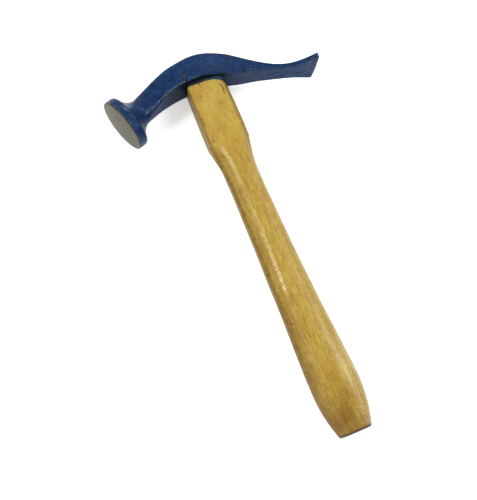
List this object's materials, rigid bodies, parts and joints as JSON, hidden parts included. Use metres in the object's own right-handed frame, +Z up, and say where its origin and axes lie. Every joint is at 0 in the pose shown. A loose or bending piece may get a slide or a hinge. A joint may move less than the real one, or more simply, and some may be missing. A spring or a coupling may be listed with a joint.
{
  "type": "cobbler's hammer",
  "caption": "Small shoemaker's or tack hammer: blue forged head with a broad round face and a thin flared pein, wedged on a waisted wooden handle.",
  "frame": {"origin": "on the bench that the hammer lies on, under the middle of its box", "axes": "+Y up the handle from the butt to the head, +X along the head towards the pein, +Z up from the bench, out of the upper cheek"},
  "size_m": [0.1554, 0.2794, 0.0391],
  "materials": {
    "blue_enamel": "worn semi-gloss blue enamel over forged steel, with the striking face ground bare",
    "varnished_wood": "clear amber varnish, gloss worn to satin",
    "wedge_wood": "raw hardwood, dressed flush",
    "wedge_steel": "plain rolled steel, filed on top"
  },
  "bodies": {
    "root": {"head": "blue_enamel", "handle": "varnished_wood", "wooden_wedge": "wedge_wood", "steel_wedge_front": "wedge_steel", "steel_wedge_rear": "wedge_steel"}
  },
  "joints": []
}
